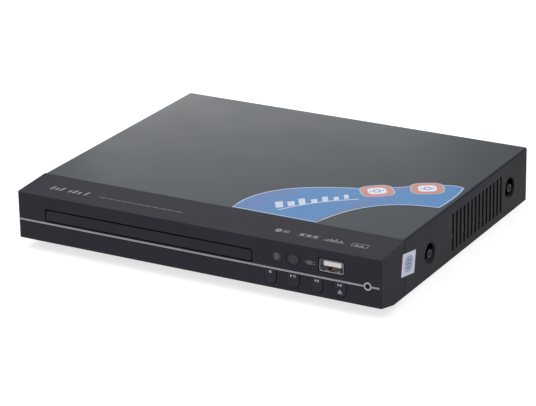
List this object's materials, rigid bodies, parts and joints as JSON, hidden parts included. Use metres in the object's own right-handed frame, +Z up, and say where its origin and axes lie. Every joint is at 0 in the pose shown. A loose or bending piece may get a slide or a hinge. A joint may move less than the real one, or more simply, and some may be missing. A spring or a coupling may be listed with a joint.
{
  "type": "disc player with tray",
  "caption": "Slim disc player with a sliding disc tray, sloped front bezel, folded steel cover with side vents, front buttons, data socket and rear audio sockets.",
  "frame": {"origin": "on the ground, under the middle of the player's box, feet and rear sockets included", "axes": "+X to the viewer's right along the front, +Y towards the rear sockets, +Z up"},
  "size_m": [0.225, 0.1956, 0.0356],
  "materials": {
    "cover_paint": "satin dark grey powder coat",
    "zinc_sheet": "zinc-plated folded sheet",
    "bezel_plastic": "moulded dark plastic, satin",
    "button_plastic": "moulded dark plastic, half gloss",
    "tray_plastic": "moulded dark plastic, matt",
    "silver_trim": "silver foil trim",
    "ring_metal": "bright ring",
    "lamp_plastic": "smoked red lens",
    "window_plastic": "dark red infrared window",
    "indicator_plastic": "translucent grey lens",
    "socket_steel": "nickel-plated steel shell",
    "tongue_plastic": "white insulator with gilt contacts",
    "board_fibre": "green solder mask",
    "board_paper": "tan paper laminate",
    "switch_plastic": "black switch bodies",
    "fastener_steel": "zinc-plated steel",
    "black_screw": "dark plated screws",
    "chip_plastic": "moulded black packages",
    "sink_aluminium": "extruded aluminium",
    "capacitor_sleeve": "printed sleeve",
    "connector_plastic": "natural nylon",
    "transformer_tape": "yellow tape over ferrite",
    "fuse_glass": "glass tube in clips",
    "jack_plastic": "black moulded block",
    "jack_brass": "gilt sleeves",
    "inlet_plastic": "black moulded inlet",
    "pin_brass": "brass pins",
    "cable_white": "flat cable",
    "wire_red": "insulated wire",
    "loader_plastic": "moulded black frame",
    "puck_plastic": "moulded puck",
    "magnet_steel": "plated ring",
    "gear_acetal": "natural acetal",
    "belt_rubber": "belt rubber",
    "motor_can": "plated motor can",
    "rod_steel": "ground steel rod",
    "pickup_alloy": "die-cast body",
    "lens_glass": "coated lens",
    "foot_rubber": "moulded rubber",
    "label_film": "printed film"
  },
  "bodies": {
    "chassis": {"top_cover": "cover_paint", "bottom_chassis": "zinc_sheet", "rear_panel": "zinc_sheet", "front_bezel": "bezel_plastic", "stripe_trim": "silver_trim", "lamp_ring": "ring_metal", "power_lamp": "lamp_plastic", "ir_window": "window_plastic", "indicator_lens": "indicator_plastic", "socket_shell": "socket_steel", "socket_tongue": "tongue_plastic", "front_board": "board_fibre", "button_switches": "switch_plastic", "ir_receiver": "switch_plastic", "main_board": "board_fibre", "power_board": "board_paper", "av_board": "board_fibre", "standoffs": "fastener_steel", "fixing_screws": "fastener_steel", "decoder_chip": "chip_plastic", "heat_sink": "sink_aluminium", "board_capacitors": "capacitor_sleeve", "board_connectors": "connector_plastic", "transformer": "transformer_tape", "mains_fuse": "fuse_glass", "jack_block": "jack_plastic", "jack_sleeves": "jack_brass", "mains_inlet": "inlet_plastic", "inlet_pins": "pin_brass", "ribbon_cables": "cable_white", "wire_harness": "wire_red", "loader_frame": "loader_plastic", "clamp_bridge": "zinc_sheet", "drive_belt": "belt_rubber", "loading_motor": "motor_can", "rubber_feet": "foot_rubber", "cover_screws": "black_screw", "top_label": "label_film"},
    "tray": {"tray_door": "bezel_plastic", "disc_tray": "tray_plastic"},
    "drive_gear": {"drive_gear": "gear_acetal"},
    "pulley_gear": {"pulley_gear": "gear_acetal"},
    "motor_pulley": {"motor_pulley": "gear_acetal"},
    "cam_slider": {"cam_slider": "gear_acetal"},
    "deck": {"lift_frame": "loader_plastic", "traverse_deck": "zinc_sheet", "damper_bushes": "foot_rubber", "guide_rods": "rod_steel", "spindle_motor": "motor_can", "sled_motor": "motor_can"},
    "turntable": {"turntable": "puck_plastic"},
    "clamper": {"clamp_puck": "puck_plastic", "clamp_magnet": "magnet_steel"},
    "pickup": {"pickup_body": "pickup_alloy", "pickup_lens": "lens_glass"},
    "lead_screw": {"lead_screw": "rod_steel"},
    "stop_button": {"stop_button": "button_plastic"},
    "play_button": {"play_button": "button_plastic"},
    "skip_button": {"skip_button": "button_plastic"},
    "eject_button": {"eject_button": "button_plastic"}
  },
  "joints": [
    {"name": "tray_slide", "type": "slide", "parent": "chassis", "child": "tray", "axis": [0, -1, 0], "range_m": [0, 0.125]},
    {"name": "drive_gear_spin", "type": "hinge", "parent": "chassis", "child": "drive_gear", "pos_m": [-0.0757, -0.07775, 0.0155], "axis": [0, 0, 1], "range_deg": [-1, 717]},
    {"name": "pulley_gear_spin", "type": "hinge", "parent": "chassis", "child": "pulley_gear", "pos_m": [-0.0577, -0.07775, 0.0155], "axis": [0, 0, 1], "range_deg": [-1433, 1]},
    {"name": "motor_pulley_spin", "type": "hinge", "parent": "chassis", "child": "motor_pulley", "pos_m": [-0.0272, -0.07675, 0.0155], "axis": [0, 0, 1], "range_deg": [-4567, 1]},
    {"name": "deck_tilt", "type": "hinge", "parent": "chassis", "child": "deck", "pos_m": [-0.0292, 0.0589, 0.0135], "axis": [1, 0, 0], "range_deg": [0, 4.8]},
    {"name": "cam_slide", "type": "slide", "parent": "chassis", "child": "cam_slider", "axis": [-1, 0, 0], "range_m": [0, 0.0261]},
    {"name": "turntable_spin", "type": "hinge", "parent": "deck", "child": "turntable", "pos_m": [-0.0292, -0.0291, 0.0215], "axis": [0, 0, 1], "continuous": true},
    {"name": "clamper_spin", "type": "hinge", "parent": "chassis", "child": "clamper", "pos_m": [-0.0292, -0.0291, 0.0295], "axis": [0, 0, 1], "continuous": true},
    {"name": "pickup_slide", "type": "slide", "parent": "deck", "child": "pickup", "axis": [0, 1, 0], "range_m": [0, 0.034]},
    {"name": "lead_screw_spin", "type": "hinge", "parent": "deck", "child": "lead_screw", "pos_m": [0.0018, 0.0109, 0.0132], "axis": [0, 1, 0], "range_deg": [-1, 6121]},
    {"name": "stop_button_press", "type": "slide", "parent": "chassis", "child": "stop_button", "axis": [0, 1, 0], "range_m": [0, 0.0008], "stiffness_N_per_m": 250},
    {"name": "play_button_press", "type": "slide", "parent": "chassis", "child": "play_button", "axis": [0, 1, 0], "range_m": [0, 0.0008], "stiffness_N_per_m": 250},
    {"name": "skip_button_press", "type": "slide", "parent": "chassis", "child": "skip_button", "axis": [0, 1, 0], "range_m": [0, 0.0008], "stiffness_N_per_m": 250},
    {"name": "eject_button_press", "type": "slide", "parent": "chassis", "child": "eject_button", "axis": [0, 1, 0], "range_m": [0, 0.0008], "stiffness_N_per_m": 250}
  ],
  "couplings": [
    {"joint": "drive_gear_spin", "follows": "tray_slide", "rad_per_m": 100},
    {"joint": "pulley_gear_spin", "follows": "tray_slide", "rad_per_m": -200},
    {"joint": "motor_pulley_spin", "follows": "tray_slide", "rad_per_m": -637.5},
    {"joint": "cam_slide", "follows": "deck_tilt", "m_per_rad": 0.31035},
    {"joint": "clamper_spin", "follows": "turntable_spin", "ratio": 1},
    {"joint": "lead_screw_spin", "follows": "pickup_slide", "rad_per_m": 3141.6}
  ]
}
